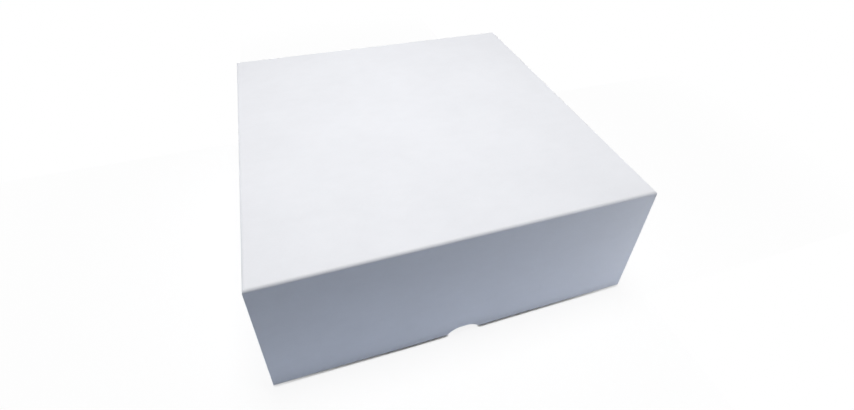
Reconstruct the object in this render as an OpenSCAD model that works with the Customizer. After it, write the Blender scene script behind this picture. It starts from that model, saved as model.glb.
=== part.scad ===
// Square cake box in white solid board: a base tray, and a full-depth lid that lifts off it.
// Each piece is one die-cut sheet. Its four walls fold up from the panel, and each end of the two
// side walls folds on as a glue tab, which is stuck inside the front or back wall.
// The origin is at the middle of the underside, +Z is up and the front is towards -Y.

/* [Box] */
// Outside width of the lid, left to right
lid_w = 260; // [160:1:420]
// Outside depth of the lid, front to back
lid_d = 260; // [160:1:420]
// Height of the closed box, from the floor to the top of the lid
box_h = 100; // [50:1:220]
// Height of the lid's rim above the floor when the box is closed
rim_gap = 1.2; // [0.4:0.1:8]

/* [Board] */
// Thickness of the board
board_t = 1.0; // [0.4:0.1:2]
// Inside radius of every fold
fold_in_r = 1.0; // [0.3:0.1:2.5]

/* [Fit] */
// Clearance on each side between the lid and the base
side_gap = 1.0; // [0.5:0.1:3]

/* [Thumb notch] */
// Width of the notch along the lid's rim, before its ends are rounded
notch_w = 24; // [16:1:60]
// Height of the notch above the lid's rim
notch_h = 5.5; // [3:0.5:12]
// Radius that rounds each end of the notch into the rim
notch_end_r = 1.5; // [0.5:0.1:3]

/* [Glue tabs] */
// Length of a glue tab beyond its fold
tab_l = 18; // [8:1:50]
// Distance by which a tab's free end is cut back, at its top and at its bottom
tab_taper = 5; // [1:0.5:12]

/* [Hidden] */
$fn = 96;

board_white = [0.93, 0.93, 0.95];

fold_r = fold_in_r + board_t;

// The base's rim carries the lid's panel. Where the gap is narrower than a fold, it meets the fold's curve.
fold_bite = max(0, fold_in_r - side_gap);
fold_drop = fold_in_r - sqrt(pow(fold_in_r, 2) - pow(fold_bite, 2));
base_h = box_h - board_t - fold_drop;
lid_h = box_h - rim_gap;

// The lid's front and back walls have tabs inside them, and its side walls have none.
base_w = lid_w - 2 * (board_t + side_gap);
base_d = lid_d - 2 * (2 * board_t + side_gap);

// The notch is an arc through its two ends on the rim and its highest point.
notch_r = (pow(notch_w / 2, 2) + pow(notch_h, 2)) / (2 * notch_h);
notch_centre_z = notch_h - notch_r;
// Each end's rounding touches the rim from above and the arc from outside.
notch_end_x = sqrt(pow(notch_r + notch_end_r, 2) - pow(notch_end_r - notch_centre_z, 2));
notch_touch_z = notch_centre_z + (notch_end_r - notch_centre_z) * notch_r / (notch_r + notch_end_r);

// What is left of a square when a circle rounds its corner
module corner_waste(r) {
    difference() {
        square(r);
        translate([r, r]) circle(r);
    }
}

// Upright rectangle, centred on the Y axis, with its two lower corners rounded
module round_foot_profile(width, height, r) {
    difference() {
        translate([-width / 2, 0]) square([width, height]);
        for (side = [0, 1])
            mirror([side, 0])
                translate([-width / 2, 0]) corner_waste(r);
    }
}

// Block whose four lower edges are rounded and meet in mitres
module round_foot_block(w, d, h, r) {
    intersection() {
        rotate([90, 0, 0])
            linear_extrude(d, center = true) round_foot_profile(w, h, r);
        rotate([90, 0, 90])
            linear_extrude(w, center = true) round_foot_profile(d, h, r);
    }
}

// Copies, for the four corners of a w by d tray, of what is drawn about its front right upright fold
module each_corner(w, d) {
    for (left = [0, 1], back = [0, 1])
        mirror([left, 0, 0])
            mirror([0, back, 0])
                translate([w / 2 - fold_r, board_t + fold_r - d / 2, 0])
                    children();
}

// Plan of the inside of the upright fold, out to the square corner of the walls
module inner_corner_plan() {
    difference() {
        translate([0, -fold_r]) square(fold_r);
        circle(fold_in_r);
    }
}

// Plan of the groove outside the upright fold, between it and the front wall's end
module groove_plan() {
    difference() {
        translate([0, -fold_r]) square([fold_r + board_t, fold_r]);
        circle(fold_r);
    }
}

// Glue tab of walls h high, drawn deep enough to reach into the front wall. Its edges start level.
module glue_tab(h) {
    above = h + board_t;
    translate([0, -fold_in_r, 0])
        rotate([90, 0, 0])
            linear_extrude(1.5 * board_t)
                polygon([
                    [board_t, fold_r],
                    [board_t, above],
                    [-board_t, above],
                    [-board_t, h],
                    [-tab_l, h - tab_taper],
                    [-tab_l, fold_r + tab_taper],
                    [-board_t, fold_r],
                ]);
}

// One folded and glued sheet, standing on its panel with its rim up. The front and back walls run the
// full width and end in a cut edge, beside the groove of the side wall's fold.
module folded_tray(w, d, h) {
    difference() {
        round_foot_block(w, d, h, fold_r);
        difference() {
            translate([0, 0, board_t])
                round_foot_block(w - 2 * board_t, d - 2 * board_t, h, fold_in_r);
            each_corner(w, d) {
                linear_extrude(2 * h) inner_corner_plan();
                glue_tab(h);
            }
        }
        each_corner(w, d)
            translate([0, 0, fold_r])
                linear_extrude(h) groove_plan();
    }
}

// Outline of the thumb notch, drawn with the rim along the X axis
module notch_outline() {
    below = board_t;
    // The arc, down to where its rounded ends touch it
    intersection() {
        translate([0, notch_centre_z]) circle(notch_r);
        translate([-notch_r, notch_touch_z]) square([2 * notch_r, notch_h]);
    }
    // The rounded ends, from there to below the rim
    difference() {
        translate([-notch_end_x, -below]) square([2 * notch_end_x, notch_touch_z + below]);
        for (left = [0, 1])
            mirror([left, 0])
                translate([notch_end_x, notch_end_r]) circle(notch_end_r);
    }
}

module base() {
    color(board_white)
        folded_tray(base_w, base_d, base_h);
}

module lid() {
    color(board_white)
        difference() {
            translate([0, 0, box_h])
                mirror([0, 0, 1])
                    folded_tray(lid_w, lid_d, lid_h);
            translate([0, 2 * board_t - lid_d / 2, box_h - lid_h])
                rotate([90, 0, 0])
                    linear_extrude(3 * board_t) notch_outline();
        }
}

base();
lid();
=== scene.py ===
"""A square cake box in folded white board: a base tray, and a full-depth lid that lifts off it."""

import math

import bmesh
import bpy
from bpy.props import FloatProperty, FloatVectorProperty, PointerProperty
from mathutils import Matrix, Vector


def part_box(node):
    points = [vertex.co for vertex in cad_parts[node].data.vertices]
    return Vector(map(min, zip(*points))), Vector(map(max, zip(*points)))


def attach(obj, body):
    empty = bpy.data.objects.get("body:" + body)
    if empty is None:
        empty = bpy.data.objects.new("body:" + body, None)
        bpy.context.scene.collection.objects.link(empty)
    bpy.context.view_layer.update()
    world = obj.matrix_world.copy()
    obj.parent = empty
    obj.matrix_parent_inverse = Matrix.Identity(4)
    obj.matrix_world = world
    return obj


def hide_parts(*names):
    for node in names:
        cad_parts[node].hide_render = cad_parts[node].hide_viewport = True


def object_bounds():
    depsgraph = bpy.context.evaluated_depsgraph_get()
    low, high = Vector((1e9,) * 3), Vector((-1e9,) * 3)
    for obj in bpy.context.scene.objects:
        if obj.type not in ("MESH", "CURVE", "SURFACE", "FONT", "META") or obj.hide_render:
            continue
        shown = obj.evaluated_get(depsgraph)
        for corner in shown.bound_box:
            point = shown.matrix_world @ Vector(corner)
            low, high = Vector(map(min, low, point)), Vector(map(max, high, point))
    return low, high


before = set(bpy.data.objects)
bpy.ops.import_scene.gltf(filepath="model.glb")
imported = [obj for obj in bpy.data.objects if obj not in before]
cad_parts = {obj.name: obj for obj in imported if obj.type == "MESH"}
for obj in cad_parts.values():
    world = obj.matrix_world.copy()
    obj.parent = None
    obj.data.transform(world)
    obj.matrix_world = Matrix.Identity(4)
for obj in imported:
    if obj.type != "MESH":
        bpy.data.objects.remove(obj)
CAD_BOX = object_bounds()

bl_info = {
    "name": "Cake Box",
    "version": (1, 0, 0),
    "blender": (4, 5, 0),
    "location": "View3D > Sidebar > Cake Box",
    "description": "Folds the base and the lid of a cake box from board, and sets a stage for them",
    "category": "Add Mesh",
}

X = Vector((1, 0, 0))
Y = Vector((0, 1, 0))
UP = Vector((0, 0, 1))

MM = 0.001
TOUCH = 0.01 * MM

# A fold is a quarter of a cylinder in this many flat strips.
FOLD_STEPS = 6
# Turn from one strip of a fold to the next
FOLD_TURN = math.pi / 2 / FOLD_STEPS
# Distance from a fold to the next line of edges, which keeps the flat board beside it flat
FOLD_MARGIN = 0.6 * MM
# Usual distance between two lines of edges on a flat part of the sheet
CELL = 8 * MM
# Depth of a wall's last row of faces, along its rim, which has room for the thumb notch
RIM_ROW = 9.6 * MM

# Place of the bow in the lid's front rim, to the left of the notch, and its reach to each side
BOW_PLACE = -40 * MM
BOW_REACH = 45 * MM
# How far the lid's side walls lean in at the middle of their rims
SIDE_LEAN = 0.25 * MM
# How far the base's panel and its walls draw in at their middle
BASE_PANEL_DRAW = 0.3 * MM
BASE_WALL_DRAW = 0.25 * MM

# The UV map holds the flat sheet, which fits in a square with this side.
BLANK_SPAN = 0.5
BLANK_UV = "blank"
CREASE = "crease"


class BoardSettings(bpy.types.PropertyGroup):
    """The board that both sheets are cut from"""

    thickness: FloatProperty(
        name="Thickness",
        description="Thickness of the board",
        default=1.0 * MM,
        min=0.2 * MM,
        unit="LENGTH",
        precision=5,
    )
    fold_radius: FloatProperty(
        name="Fold Radius",
        description="Outside radius of every fold",
        default=2.0 * MM,
        min=0.5 * MM,
        unit="LENGTH",
        precision=5,
    )
    tab_length: FloatProperty(
        name="Tab Length",
        description="Length of a glue tab beyond its fold",
        default=18 * MM,
        unit="LENGTH",
        precision=5,
    )
    tab_taper: FloatProperty(
        name="Tab Taper",
        description="Distance by which a tab's free end is cut back, above and below",
        default=5 * MM,
        unit="LENGTH",
        precision=5,
    )
    edge_round: FloatProperty(
        name="Edge Rounding",
        description="Width of the worn rounding along the board's cut edges",
        default=0.12 * MM,
        unit="LENGTH",
        precision=5,
    )
    coated_color: FloatVectorProperty(
        name="Coated Side",
        description="Colour of the coated side, which is the outside of the box",
        default=(0.847, 0.855, 0.888),
        subtype="COLOR",
        min=0,
        max=1,
    )
    plain_color: FloatVectorProperty(
        name="Plain Side",
        description="Colour of the uncoated side, which is the inside of the box",
        default=(0.80, 0.79, 0.76),
        subtype="COLOR",
        min=0,
        max=1,
    )
    core_color: FloatVectorProperty(
        name="Core",
        description="Colour of the pulp that shows at a cut edge",
        default=(0.72, 0.70, 0.65),
        subtype="COLOR",
        min=0,
        max=1,
    )


class LidSettings(bpy.types.PropertyGroup):
    """What only the lid's sheet has"""

    notch_width: FloatProperty(
        name="Notch Width",
        description="Width of the thumb notch along the rim, before its ends are rounded",
        default=24 * MM,
        unit="LENGTH",
        precision=5,
    )
    notch_height: FloatProperty(
        name="Notch Height",
        description="Height of the thumb notch above the rim",
        default=5.5 * MM,
        unit="LENGTH",
        precision=5,
    )
    notch_end_radius: FloatProperty(
        name="Notch End Radius",
        description="Radius that rounds each end of the thumb notch into the rim",
        default=1.5 * MM,
        unit="LENGTH",
        precision=5,
    )
    rim_bow: FloatProperty(
        name="Rim Bow",
        description="How far the front rim is bowed, to the left of the notch",
        default=0.6 * MM,
        unit="LENGTH",
        precision=5,
    )
    panel_sag: FloatProperty(
        name="Panel Sag",
        description="How far the middle of the top panel hangs below its edges",
        default=0.35 * MM,
        unit="LENGTH",
        precision=5,
    )


class StageSettings(bpy.types.PropertyGroup):
    """The camera, the floor and the light"""

    camera_place: FloatVectorProperty(
        name="Camera Place",
        description="Where the camera's lens is",
        default=(-90.5 * MM, -298.9 * MM, 311.0 * MM),
        subtype="TRANSLATION",
        unit="LENGTH",
    )
    camera_aim: FloatVectorProperty(
        name="Camera Aim",
        description="Point that the camera looks at",
        default=(2.0 * MM, -33.4 * MM, 100 * MM),
        subtype="TRANSLATION",
        unit="LENGTH",
    )
    camera_roll: FloatProperty(
        name="Camera Roll",
        description="Clockwise turn of the camera about its line of sight",
        default=math.radians(1.75),
        subtype="ANGLE",
    )
    lens: FloatProperty(
        name="Lens",
        description="Focal length, in millimetres",
        default=20.05,
        min=1,
    )
    frame_shift: FloatProperty(
        name="Frame Shift",
        description="Upward shift of the frame, as a share of its width",
        default=-0.0761,
    )
    floor_color: FloatVectorProperty(
        name="Floor",
        description="Colour of the floor, as the box sees it",
        default=(0.66, 0.75, 0.92),
        subtype="COLOR",
        min=0,
        max=1,
    )
    sky_color: FloatVectorProperty(
        name="Sky",
        description="Colour of the soft light from all round, above the floor",
        default=(0.85, 0.93, 1.10),
        subtype="COLOR",
        min=0,
        soft_max=2,
    )
    sky_strength: FloatProperty(
        name="Sky Strength",
        description="Strength of the soft light from all round",
        default=0.02,
        min=0,
    )


class CakeBoxSettings(bpy.types.PropertyGroup):
    """Everything that can be set for the cake box"""

    board: PointerProperty(type=BoardSettings)
    lid: PointerProperty(type=LidSettings)
    stage: PointerProperty(type=StageSettings)


# Materials


def add_node(tree, kind, inputs=(), **settings):
    """Adds a shader node. An input is given as a value, or as the output socket that feeds it."""
    node = tree.nodes.new(kind)
    for name, value in settings.items():
        setattr(node, name, value)
    for name, value in dict(inputs).items():
        if isinstance(value, bpy.types.NodeSocket):
            tree.links.new(value, node.inputs[name])
        else:
            node.inputs[name].default_value = value
    return node


def new_material(name):
    """Makes a material with an empty Principled surface, and returns it with its tree and that surface."""
    material = bpy.data.materials.new(name)
    material.use_nodes = True
    tree = material.node_tree
    return material, tree, tree.nodes["Principled BSDF"]


def sheet_noise(tree, size, stretch=1, detail=3, roughness=0.5):
    """Noise laid on the flat sheet, with lumps of one size in metres, drawn out along the board's grain."""
    flat = add_node(tree, "ShaderNodeUVMap", uv_map=BLANK_UV)
    scaled = add_node(
        tree,
        "ShaderNodeMapping",
        {"Vector": flat.outputs["UV"], "Scale": (BLANK_SPAN / stretch, BLANK_SPAN, 1)},
    )
    noise = add_node(
        tree,
        "ShaderNodeTexNoise",
        {
            "Vector": scaled.outputs["Vector"],
            "Scale": 1 / size,
            "Detail": detail,
            "Roughness": roughness,
        },
    )
    return noise.outputs["Fac"]


def span(tree, value, low, high):
    """Spreads a noise, which lies mostly between 0.3 and 0.7, from one number to another."""
    ranged = add_node(
        tree,
        "ShaderNodeMapRange",
        {"Value": value, "From Min": 0.3, "From Max": 0.7, "To Min": low, "To Max": high},
    )
    return ranged.outputs["Result"]


def math_node(tree, operation, *operands):
    """The result of one operation on one or two numbers."""
    node = add_node(tree, "ShaderNodeMath", operation=operation)
    for socket, value in zip(node.inputs, operands):
        if isinstance(value, bpy.types.NodeSocket):
            tree.links.new(value, socket)
        else:
            socket.default_value = value
    return node.outputs["Value"]


def shade(tree, color, factor):
    """A colour made lighter or darker by a factor that varies over the surface."""
    scaled = add_node(
        tree,
        "ShaderNodeVectorMath",
        {"Vector": tuple(color), "Scale": factor},
        operation="SCALE",
    )
    return scaled.outputs["Vector"]


def bump(tree, height, distance, below=None):
    """A bump that is so many metres high, laid over another one if there is one."""
    inputs = {"Height": height, "Distance": distance, "Strength": 1}
    if below:
        inputs["Normal"] = below
    return add_node(tree, "ShaderNodeBump", inputs).outputs["Normal"]


def coated_board(color):
    """Smooth white clay coating, with faint clouding, fine fibres, and folds that are rubbed."""
    material, tree, surface = new_material("coated_board")
    cloud = sheet_noise(tree, 45 * MM, detail=2)
    fibre = sheet_noise(tree, 0.55 * MM, stretch=4, detail=4, roughness=0.6)
    ripple = sheet_noise(tree, 7 * MM, stretch=1.6)
    crease = add_node(tree, "ShaderNodeAttribute", attribute_name=CREASE).outputs["Fac"]
    crack = sheet_noise(tree, 0.3 * MM, stretch=3, detail=5, roughness=0.7)

    clouded = math_node(tree, "ADD", span(tree, cloud, 0.985, 1.012), span(tree, fibre, -0.014, 0.014))
    clouded = math_node(tree, "ADD", clouded, span(tree, ripple, -0.008, 0.008))
    rubbed = math_node(tree, "MULTIPLY", crease, span(tree, crack, -0.06, 0.02))
    lightness = math_node(tree, "ADD", clouded, rubbed)
    tree.links.new(shade(tree, color, lightness), surface.inputs["Base Color"])

    dulled = math_node(tree, "MULTIPLY", crease, 0.12)
    rough = math_node(tree, "ADD", span(tree, ripple, 0.50, 0.58), dulled)
    tree.links.new(rough, surface.inputs["Roughness"])
    surface.inputs["Specular IOR Level"].default_value = 0.35

    waves = bump(tree, ripple, 0.05 * MM)
    fibres = bump(tree, fibre, 0.025 * MM, below=waves)
    cracks = bump(tree, math_node(tree, "MULTIPLY", crease, crack), 0.05 * MM, below=fibres)
    tree.links.new(cracks, surface.inputs["Normal"])
    return material


def plain_board(color):
    """Uncoated back of the board: matt, a little warmer, with longer fibres and specks."""
    material, tree, surface = new_material("plain_board")
    cloud = sheet_noise(tree, 25 * MM, detail=3)
    fibre = sheet_noise(tree, 0.8 * MM, stretch=5, detail=5, roughness=0.65)
    speck = sheet_noise(tree, 1.3 * MM, detail=1)

    specks = add_node(
        tree,
        "ShaderNodeMapRange",
        {"Value": speck, "From Min": 0.70, "From Max": 0.76, "To Min": 0.0, "To Max": -0.10},
    ).outputs["Result"]
    clouded = math_node(tree, "ADD", span(tree, cloud, 0.97, 1.02), span(tree, fibre, -0.03, 0.03))
    lightness = math_node(tree, "ADD", clouded, specks)
    tree.links.new(shade(tree, color, lightness), surface.inputs["Base Color"])

    surface.inputs["Roughness"].default_value = 0.88
    surface.inputs["Specular IOR Level"].default_value = 0.2
    tree.links.new(bump(tree, fibre, 0.03 * MM), surface.inputs["Normal"])
    return material


def cut_core(color):
    """Pressed pulp at a cut edge: dull, with the layers drawn out along the cut."""
    material, tree, surface = new_material("cut_core")
    place = add_node(tree, "ShaderNodeTexCoord").outputs["Object"]
    pulp = add_node(
        tree,
        "ShaderNodeTexNoise",
        {"Vector": place, "Scale": 1 / (0.35 * MM), "Detail": 5, "Roughness": 0.7},
    ).outputs["Fac"]
    tree.links.new(shade(tree, color, span(tree, pulp, 0.90, 1.06)), surface.inputs["Base Color"])
    surface.inputs["Roughness"].default_value = 0.92
    surface.inputs["Specular IOR Level"].default_value = 0.1
    tree.links.new(bump(tree, pulp, 0.08 * MM), surface.inputs["Normal"])
    return material


def board_materials(board):
    """The three faces of the board, made once: coated outside, plain inside, and the core at a cut edge."""
    makers = (
        ("coated_board", coated_board, board.coated_color),
        ("plain_board", plain_board, board.plain_color),
        ("cut_core", cut_core, board.core_color),
    )
    return [bpy.data.materials.get(name) or make(color) for name, make, color in makers]


# The folded sheet


def strip_width(radius):
    """Width of each flat strip of a fold, which is a chord of its quarter circle."""
    return 2 * radius * math.sin(FOLD_TURN / 2)


def even_steps(length):
    """Splits a length into equal steps of about one cell each."""
    count = max(1, round(length / CELL))
    return [length / count] * count


def cut_across(bm, along, place):
    """Adds a line of edges across the sheet, unless one is there within half a fold margin."""
    bmesh.ops.bisect_plane(
        bm,
        geom=bm.verts[:] + bm.edges[:] + bm.faces[:],
        dist=FOLD_MARGIN / 2,
        plane_co=along * place,
        plane_no=along,
    )


def edges_between(bm, corner, opposite):
    """The edges with both ends in the upright box between two corners, as seen from above."""

    def inside(vert):
        return all(
            min(corner[i], opposite[i]) - TOUCH < vert.co[i] < max(corner[i], opposite[i]) + TOUCH
            for i in range(2)
        )

    return [edge for edge in bm.edges if all(inside(vert) for vert in edge.verts)]


def extrude_row(bm, edges, move):
    """Adds a strip of faces past a row of edges, and returns the strip's far edges and new vertices."""
    made = bmesh.ops.extrude_edge_only(bm, edges=edges)["geom"]
    verts = [item for item in made if isinstance(item, bmesh.types.BMVert)]
    bmesh.ops.translate(bm, verts=verts, vec=move)
    return [item for item in made if isinstance(item, bmesh.types.BMEdge)], verts


class Sheet:
    """One die-cut sheet. It is laid out flat with its outside up, and its walls and tabs then fold down."""

    def __init__(self, width, depth, height, board, columns=()):
        self.bm = bmesh.new()
        self.uv = self.bm.loops.layers.uv.new(BLANK_UV)
        self.crease = self.bm.verts.layers.float.new(CREASE)
        self.width = width
        self.depth = depth
        self.height = height
        self.board = board
        self.radius = board.fold_radius
        self.strip = strip_width(board.fold_radius)
        self.fold_width = FOLD_STEPS * self.strip
        self.wall = height - board.fold_radius
        # Half the length and half the depth of the panel's flat part
        self.panel = Vector((width / 2 - self.radius, depth / 2 - self.radius))
        # Half the length of a side wall between the folds of its two tabs
        self.side_half = depth / 2 - board.thickness - self.radius
        self.folds = []
        self.lay_panel(columns)
        for outward in (-X, X):
            self.add_wall(outward, self.side_half, with_tabs=True)
        for outward in (-Y, Y):
            self.add_wall(outward, width / 2)

    def lay_panel(self, columns):
        """Lays out the panel, with a line of edges wherever a wall or the notch needs one."""
        cells = [round(2 * half / CELL) for half in self.panel]
        bmesh.ops.create_grid(self.bm, x_segments=cells[0], y_segments=cells[1], size=1)
        bmesh.ops.scale(self.bm, vec=(*self.panel, 1), verts=self.bm.verts)
        for side in (-1, 1):
            cut_across(self.bm, X, side * (self.panel.x - FOLD_MARGIN))
            cut_across(self.bm, Y, side * (self.panel.y - FOLD_MARGIN))
            cut_across(self.bm, Y, side * self.side_half)
        for place in columns:
            cut_across(self.bm, X, place)

    def flat_half(self, direction):
        """Half the size of the panel's flat part in one direction."""
        return abs(self.panel.to_3d().dot(direction))

    def row(self, outward, distance, half_length):
        """The edges at one distance out from the middle, and no further along than a half length."""
        along = UP.cross(outward) * half_length
        return edges_between(self.bm, outward * distance - along, outward * distance + along)

    def column(self, outward, place, start, end):
        """The edges that run outward at one place along the wall, from one distance out to another."""
        aside = UP.cross(outward) * place
        return edges_between(self.bm, aside + outward * start, aside + outward * end)

    def add_wall(self, outward, wall_half, with_tabs=False):
        """Adds a fold with mitred ends past one edge of the panel, and a wall past the fold."""
        along = UP.cross(outward)
        start = self.flat_half(outward)
        half = self.flat_half(along)
        made = []
        edges = self.row(outward, start, half)
        for _ in range(FOLD_STEPS):
            edges, verts = extrude_row(self.bm, edges, outward * self.strip)
            made += verts

        wall_start = start + self.fold_width
        for side in (-1, 1):
            end = self.column(outward, side * half, start, wall_start)
            _, verts = extrude_row(self.bm, end, Vector())
            for vert in verts:
                step = round((vert.co.dot(outward) - start) / self.strip)
                vert.co += along * side * self.radius * math.sin(step * FOLD_TURN)
            made += verts

        edges = self.row(outward, wall_start, wall_half)
        for step in (FOLD_MARGIN, *even_steps(self.wall - FOLD_MARGIN - RIM_ROW), RIM_ROW):
            edges, verts = extrude_row(self.bm, edges, outward * step)
            made += verts

        if with_tabs:
            for side in (-1, 1):
                made += self.add_tab(outward, along * side, wall_start)
        self.folds.append((outward, start, made))

    def add_tab(self, outward, along, wall_start):
        """Adds a fold and a tapered tab past one end of a side wall, and returns all their vertices."""
        bm = self.bm
        side = along.dot(UP.cross(outward))
        made = []
        edges = self.column(outward, side * self.side_half, wall_start, wall_start + self.wall)
        for _ in range(FOLD_STEPS):
            edges, verts = extrude_row(bm, edges, along * self.strip)
            made += verts

        level = self.board.thickness
        edges, verts = extrude_row(bm, edges, along * level)
        made += verts
        middle = wall_start + self.wall / 2
        slope = self.board.tab_taper / (self.board.tab_length - level)
        half_height = self.wall / 2
        for step in even_steps(self.board.tab_length - level):
            kept = 1 - slope * step / half_height
            edges, verts = extrude_row(bm, edges, along * step)
            for vert in verts:
                height = vert.co.dot(outward) - middle
                vert.co += outward * height * (kept - 1)
            half_height *= kept
            made += verts
        self.folds.insert(0, (along, self.side_half, made))
        return made

    def cut_rim(self, outward, profile):
        """Cuts back the rim of one wall to a profile, given as a height above the rim at each place."""
        rim = self.flat_half(outward) + self.fold_width + self.wall
        for vert in self.bm.verts:
            if abs(vert.co.dot(outward) - rim) < TOUCH:
                vert.co -= outward * profile(vert.co.x)

    def mark_blank(self):
        """Turns every face's outside up, keeps the flat layout as a UV map, and marks the folds."""
        self.bm.normal_update()
        under = [face for face in self.bm.faces if face.normal.z < 0]
        bmesh.ops.reverse_faces(self.bm, faces=under)
        for face in self.bm.faces:
            for loop in face.loops:
                loop[self.uv].uv = loop.vert.co.xy / BLANK_SPAN + Vector((0.5, 0.5))
        for outward, start, verts in self.folds:
            for vert in verts:
                if vert.co.dot(outward) - start < self.fold_width + TOUCH:
                    vert[self.crease] = 1

    def fold(self):
        """Folds the tabs and then the walls down by a right angle, each round a cylinder."""
        flat = {vert: vert.co.copy() for vert in self.bm.verts}
        for outward, start, verts in self.folds:
            for step in range(FOLD_STEPS + 1):
                angle = step * FOLD_TURN
                hinge = outward * (start + self.radius * math.sin(angle))
                hinge -= UP * self.radius * (1 - math.cos(angle))
                turn = FOLD_TURN / 2 if step in (0, FOLD_STEPS) else FOLD_TURN
                past = start + step * self.strip + TOUCH
                bmesh.ops.rotate(
                    self.bm,
                    cent=hinge,
                    matrix=Matrix.Rotation(turn, 3, UP.cross(outward)),
                    verts=[vert for vert in verts if flat[vert].dot(outward) > past],
                )
        bmesh.ops.remove_doubles(self.bm, verts=self.bm.verts, dist=TOUCH)

    def finish(self, name):
        """Makes the object, with the board's thickness inside the folded surface and its edges worn."""
        mesh = bpy.data.meshes.new(name)
        self.bm.to_mesh(mesh)
        self.bm.free()
        mesh.shade_smooth()
        for material in board_materials(self.board):
            mesh.materials.append(material)
        piece = bpy.data.objects.new(name, mesh)
        bpy.context.scene.collection.objects.link(piece)

        board = piece.modifiers.new("board", "SOLIDIFY")
        board.thickness = self.board.thickness
        board.offset = -1
        board.use_even_offset = True
        board.use_quality_normals = True
        board.material_offset = 1
        board.material_offset_rim = 2

        wear = piece.modifiers.new("worn_edges", "BEVEL")
        wear.width = self.board.edge_round
        wear.segments = 2
        wear.limit_method = "ANGLE"
        wear.angle_limit = math.radians(50)
        wear.harden_normals = True
        return piece


def place_piece(piece, node):
    """Lets a finished piece stand for its CAD node, and move as that node does."""
    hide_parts(node)
    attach(piece, node)


class Notch:
    """Thumb notch in the lid's rim: an arc with both ends rounded into the rim."""

    ARC_STEPS = 20
    END_STEPS = 4

    def __init__(self, lid):
        height = lid.notch_height
        self.end_radius = lid.notch_end_radius
        self.radius = ((lid.notch_width / 2) ** 2 + height**2) / (2 * height)
        self.centre = height - self.radius
        reach = self.radius + self.end_radius
        self.end = math.sqrt(reach**2 - (self.end_radius - self.centre) ** 2)
        # Where the arc passes into the rounding of its end
        self.touch = self.end * self.radius / reach

    def height_at(self, place):
        """Height of the notch's edge above the rim, at a distance to the side of its middle."""
        aside = abs(place)
        if aside >= self.end:
            return 0
        if aside > self.touch:
            return self.end_radius - math.sqrt(self.end_radius**2 - (self.end - aside) ** 2)
        return self.centre + math.sqrt(self.radius**2 - aside**2)

    def columns(self):
        """Places across the notch at equal turns of its arc and of the rounding at its ends."""
        arc = math.asin(self.touch / self.radius)
        places = [
            self.radius * math.sin(arc * (2 * step / self.ARC_STEPS - 1))
            for step in range(self.ARC_STEPS + 1)
        ]
        turn = math.asin((self.end - self.touch) / self.end_radius)
        for step in range(self.END_STEPS):
            aside = self.end - self.end_radius * math.sin(turn * step / self.END_STEPS)
            places += [-aside, aside]
        return places


def places_on(sheet):
    """Gives each vertex of a folded sheet with its drop from the panel, and its room across and back.

    The drop is a share of the sheet's height. The room is 1 at the middle of the sheet and 0 at its ends.
    """
    for vert in sheet.bm.verts:
        across = vert.co.x / (sheet.width / 2)
        back = vert.co.y / (sheet.depth / 2)
        drop = min(1, -vert.co.z / sheet.height)
        yield vert, drop, max(0, 1 - across**2), max(0, 1 - back**2)


def hang_panel(sheet, vert, depth, room):
    """Moves a vertex of the panel towards the inside, most at the middle."""
    if -vert.co.z < sheet.radius:
        vert.co.z -= depth * room**2


def relax_lid(sheet, lid):
    """Lets the folded lid give a little: its panel hangs, and its front rim is bowed beside the notch."""
    for vert, drop, room_across, room_back in places_on(sheet):
        # The front wall, with the tabs inside it
        in_front = vert.co.y < 3 * sheet.board.thickness - sheet.depth / 2
        at_side = abs(vert.co.x) > sheet.width / 2 - TOUCH
        hang_panel(sheet, vert, lid.panel_sag, room_across * room_back)
        if in_front:
            bow = math.exp(-(((vert.co.x - BOW_PLACE) / BOW_REACH) ** 2)) * room_across
            vert.co.y += lid.rim_bow * (1 - bow) * drop**2
        if at_side:
            vert.co.x -= math.copysign(SIDE_LEAN, vert.co.x) * room_back * drop**2


def relax_base(sheet):
    """Lets the folded base give a little: its panel and its walls draw in."""
    for vert, drop, room_across, room_back in places_on(sheet):
        at_end = abs(vert.co.y) > sheet.depth / 2 - 3 * sheet.board.thickness
        at_side = abs(vert.co.x) > sheet.width / 2 - TOUCH
        hang_panel(sheet, vert, BASE_PANEL_DRAW, room_across * room_back)
        draw = BASE_WALL_DRAW * 4 * drop * (1 - drop)
        if at_end:
            vert.co.y -= math.copysign(draw, vert.co.y) * room_across
        if at_side:
            vert.co.x -= math.copysign(draw, vert.co.x) * room_back


class CAKEBOX_OT_fold_lid(bpy.types.Operator):
    """Cut the lid's sheet, fold its walls down and stand it over the base"""

    bl_idname = "cake_box.fold_lid"
    bl_label = "Fold Lid"
    bl_options = {"REGISTER", "UNDO"}

    def execute(self, context):
        settings = context.scene.cake_box
        low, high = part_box("lid")
        notch = Notch(settings.lid)
        sheet = Sheet(*(high - low), settings.board, notch.columns())
        sheet.cut_rim(-Y, notch.height_at)
        sheet.mark_blank()
        sheet.fold()
        relax_lid(sheet, settings.lid)
        bmesh.ops.translate(sheet.bm, verts=sheet.bm.verts, vec=(0, 0, high.z))
        place_piece(sheet.finish("lid_sheet"), "lid")
        return {"FINISHED"}


class CAKEBOX_OT_fold_base(bpy.types.Operator):
    """Cut the base's sheet, fold its walls and stand it on its panel"""

    bl_idname = "cake_box.fold_base"
    bl_label = "Fold Base"
    bl_options = {"REGISTER", "UNDO"}

    def execute(self, context):
        settings = context.scene.cake_box
        low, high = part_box("base")
        sheet = Sheet(*(high - low), settings.board)
        sheet.mark_blank()
        sheet.fold()
        relax_base(sheet)
        bmesh.ops.rotate(sheet.bm, verts=sheet.bm.verts, matrix=Matrix.Rotation(math.pi, 3, "Y"))
        bmesh.ops.translate(sheet.bm, verts=sheet.bm.verts, vec=(0, 0, low.z))
        place_piece(sheet.finish("base_sheet"), "base")
        return {"FINISHED"}


# The stage


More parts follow.
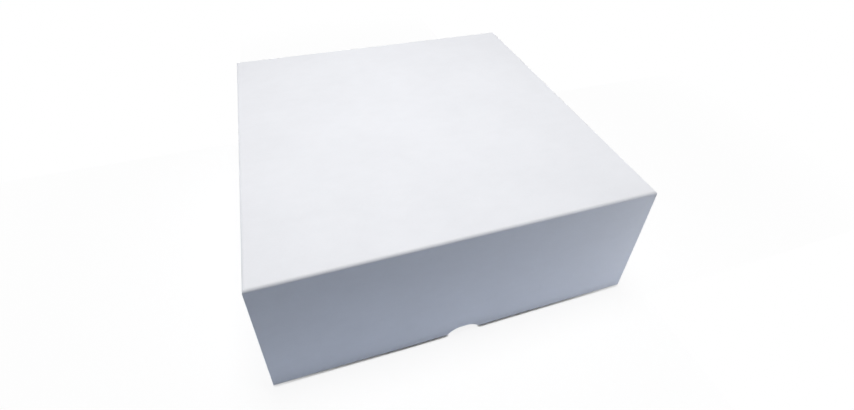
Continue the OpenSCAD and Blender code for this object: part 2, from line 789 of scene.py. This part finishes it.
def add_area_lamp(name, place, aim, size, power, spread):
    """Adds a square soft lamp, of a power in watts, that points at a place and doesn't show itself."""
    lamp = bpy.data.lights.new(name, "AREA")
    lamp.size = size
    lamp.energy = power
    lamp.spread = spread
    holder = bpy.data.objects.new(name, lamp)
    holder.location = place
    holder.rotation_euler = (Vector(aim) - Vector(place)).to_track_quat("-Z", "Y").to_euler()
    holder.visible_camera = False
    bpy.context.scene.collection.objects.link(holder)


def seen_directly(tree):
    """1 where a surface is seen, straight, reflected or through something, and 0 where it only lights."""
    path = add_node(tree, "ShaderNodeLightPath")
    seen = math_node(tree, "MAXIMUM", path.outputs["Is Camera Ray"], path.outputs["Is Glossy Ray"])
    return math_node(tree, "MAXIMUM", seen, path.outputs["Is Transmission Ray"])


def clear_of_painted_rim_shadow(tree, place, rim):
    """Mask of the painted shadow on the floor: 0 on the strip of floor close under the lid's rim, less so
    towards the corners, and 1 past it.
    """
    # Ambient occlusion within 2 mm finds the floor that the rim hangs over, which gets the painted shadow
    openness = add_node(
        tree,
        "ShaderNodeAmbientOcclusion",
        {"Distance": 2 * MM},
        samples=8,
    ).outputs["AO"]
    open_above = add_node(
        tree,
        "ShaderNodeMapRange",
        {"Value": openness, "From Min": 0.77, "From Max": 0.88},
    ).outputs["Result"]

    # Each axis as a share of the way out to the rim, and the inner edge of the strip as such a share
    axes = add_node(tree, "ShaderNodeSeparateXYZ", {"Vector": place})
    shares = [
        math_node(tree, "DIVIDE", math_node(tree, "ABSOLUTE", axes.outputs[axis]), half)
        for axis, half in enumerate(rim)
    ]
    strip_start = 0.988
    further_in = math_node(tree, "LESS_THAN", math_node(tree, "MAXIMUM", *shares), strip_start)
    near_corner = math_node(tree, "POWER", math_node(tree, "MINIMUM", *shares), 4)
    faded = math_node(tree, "MULTIPLY", near_corner, 0.7)
    return math_node(tree, "MAXIMUM", math_node(tree, "MAXIMUM", open_above, further_in), faded)


def mixed_color(tree, share, first, second):
    """A colour that goes from the first to the second as the share goes from 0 to 1."""
    # A Mix node's colours are its inputs 6 and 7, and its output 2.
    inputs = {"Factor": share, 6: first, 7: second}
    return add_node(tree, "ShaderNodeMix", inputs, data_type="RGBA").outputs[2]


def floor_material(color, rim):
    """Pale floor that shows as white, where the box's real shadow shows faintly, and with a painted shadow,
    nearly black, on the strip close under the lid's rim.
    """
    material = bpy.data.materials.new("floor")
    material.use_nodes = True
    tree = material.node_tree
    tree.nodes.clear()

    place = add_node(tree, "ShaderNodeTexCoord").outputs["Object"]
    distance = add_node(tree, "ShaderNodeVectorMath", {0: place}, operation="LENGTH").outputs["Value"]
    # Share of plain white in what is seen, which is less near the box so that its shadow shows
    open_floor = add_node(
        tree,
        "ShaderNodeMapRange",
        {"Value": distance, "From Min": 0.15, "From Max": 0.45, "To Min": 0.86, "To Max": 1},
    ).outputs["Result"]
    clear = clear_of_painted_rim_shadow(tree, place, rim)
    seen = seen_directly(tree)
    whiteness = math_node(tree, "MULTIPLY", seen, math_node(tree, "MULTIPLY", clear, open_floor))

    # Painted shadow: the nearly black colour that the floor shows, when seen, on the strip under the lid's
    # rim
    painted_gap_shadow = (0.03, 0.03, 0.05, 1)
    seen_color = mixed_color(tree, clear, painted_gap_shadow, (1, 1, 1, 1))
    floor_color = mixed_color(tree, seen, (*color, 1), seen_color)
    pale = add_node(tree, "ShaderNodeBsdfDiffuse", {"Color": floor_color})
    white = add_node(tree, "ShaderNodeEmission", {"Color": (1, 1, 1, 1), "Strength": 1})
    mixed = add_node(
        tree,
        "ShaderNodeMixShader",
        {0: whiteness, 1: pale.outputs["BSDF"], 2: white.outputs["Emission"]},
    )
    add_node(tree, "ShaderNodeOutputMaterial", {"Surface": mixed.outputs["Shader"]})
    return material


def add_floor(stage):
    """Adds the floor that the box stands on, which reaches far past the edges of the picture."""
    reach = 4
    bm = bmesh.new()
    bmesh.ops.create_grid(bm, x_segments=1, y_segments=1, size=reach)
    mesh = bpy.data.meshes.new("floor")
    bm.to_mesh(mesh)
    bm.free()
    mesh.materials.append(floor_material(stage.floor_color, CAD_BOX[1].xy))
    floor = bpy.data.objects.new("floor", mesh)
    bpy.context.scene.collection.objects.link(floor)


def set_sky(stage):
    """Lights the scene softly from above the horizon, behind a white background."""
    world = bpy.data.worlds.new("sky")
    bpy.context.scene.world = world
    world.use_nodes = True
    tree = world.node_tree
    tree.nodes.clear()
    direction = add_node(tree, "ShaderNodeTexCoord").outputs["Generated"]
    height = add_node(tree, "ShaderNodeSeparateXYZ", {"Vector": direction}).outputs["Z"]
    above = add_node(
        tree,
        "ShaderNodeMapRange",
        {"Value": height, "From Min": -0.05, "From Max": 0.15},
    ).outputs["Result"]
    strength = math_node(tree, "MULTIPLY", above, stage.sky_strength)
    soft = add_node(
        tree,
        "ShaderNodeBackground",
        {"Color": (*stage.sky_color, 1), "Strength": strength},
    )
    white = add_node(tree, "ShaderNodeBackground", {"Color": (1, 1, 1, 1), "Strength": 1})
    mixed = add_node(
        tree,
        "ShaderNodeMixShader",
        {0: seen_directly(tree), 1: soft.outputs["Background"], 2: white.outputs["Background"]},
    )
    add_node(tree, "ShaderNodeOutputWorld", {"Surface": mixed.outputs["Shader"]})


def set_lamps():
    """Adds a soft lamp straight overhead, and weaker ones low down round the box."""
    wide = math.pi
    narrow = math.radians(60)
    add_area_lamp("overhead", (0, 0, 1.5), (-0.01, 0, 0), 0.6, 2.62, narrow)
    add_area_lamp("front_right", (0.28, -0.30, 0.06), (0.12, -0.13, 0.06), 0.08, 0.125, wide)
    add_area_lamp("right", (0.9, 0.15, 0.09), (0.13, 0, 0.05), 0.14, 0.16, narrow)
    add_area_lamp("left", (-0.9, 0.05, 0.09), (-0.13, 0, 0.05), 0.14, 0.20, narrow)
    add_area_lamp("back", (0.1, 0.9, 0.09), (0, 0.13, 0.05), 0.14, 0.18, narrow)


def set_camera(stage):
    """Adds the camera at the photograph's viewing angle."""
    lens = bpy.data.cameras.new("camera")
    lens.lens = stage.lens
    lens.sensor_width = 36
    lens.shift_y = stage.frame_shift
    lens.clip_start = 0.01
    camera = bpy.data.objects.new("camera", lens)
    place = Vector(stage.camera_place)
    sight = Vector(stage.camera_aim) - place
    level = sight.to_track_quat("-Z", "Y")
    camera.rotation_mode = "QUATERNION"
    camera.rotation_quaternion = level @ Matrix.Rotation(stage.camera_roll, 3, "Z").to_quaternion()
    camera.location = place
    bpy.context.scene.collection.objects.link(camera)
    bpy.context.scene.camera = camera


class CAKEBOX_OT_set_stage(bpy.types.Operator):
    """Add the floor, the light and the camera"""

    bl_idname = "cake_box.set_stage"
    bl_label = "Set Stage"
    bl_options = {"REGISTER", "UNDO"}

    def execute(self, context):
        stage = context.scene.cake_box.stage
        add_floor(stage)
        set_sky(stage)
        set_lamps()
        set_camera(stage)
        context.scene.view_settings.view_transform = "Standard"
        return {"FINISHED"}


class CAKEBOX_PT_panel(bpy.types.Panel):
    """Sizes, colours and steps of the cake box"""

    bl_idname = "CAKEBOX_PT_panel"
    bl_label = "Cake Box"
    bl_space_type = "VIEW_3D"
    bl_region_type = "UI"
    bl_category = "Cake Box"

    def draw(self, context):
        settings = context.scene.cake_box
        for title, group in (("Board", settings.board), ("Lid", settings.lid), ("Stage", settings.stage)):
            box = self.layout.box()
            box.label(text=title)
            for name in type(group).__annotations__:
                box.prop(group, name)
        for operator in OPERATORS:
            self.layout.operator(operator.bl_idname)


OPERATORS = (CAKEBOX_OT_fold_base, CAKEBOX_OT_fold_lid, CAKEBOX_OT_set_stage)
CLASSES = (BoardSettings, LidSettings, StageSettings, CakeBoxSettings, *OPERATORS, CAKEBOX_PT_panel)


def register():
    for cls in CLASSES:
        bpy.utils.register_class(cls)
    bpy.types.Scene.cake_box = PointerProperty(type=CakeBoxSettings)


def unregister():
    del bpy.types.Scene.cake_box
    for cls in reversed(CLASSES):
        bpy.utils.unregister_class(cls)


def main():
    register()
    bpy.ops.cake_box.fold_base()
    bpy.ops.cake_box.fold_lid()
    bpy.ops.cake_box.set_stage()


if __name__ == "__main__":
    main()
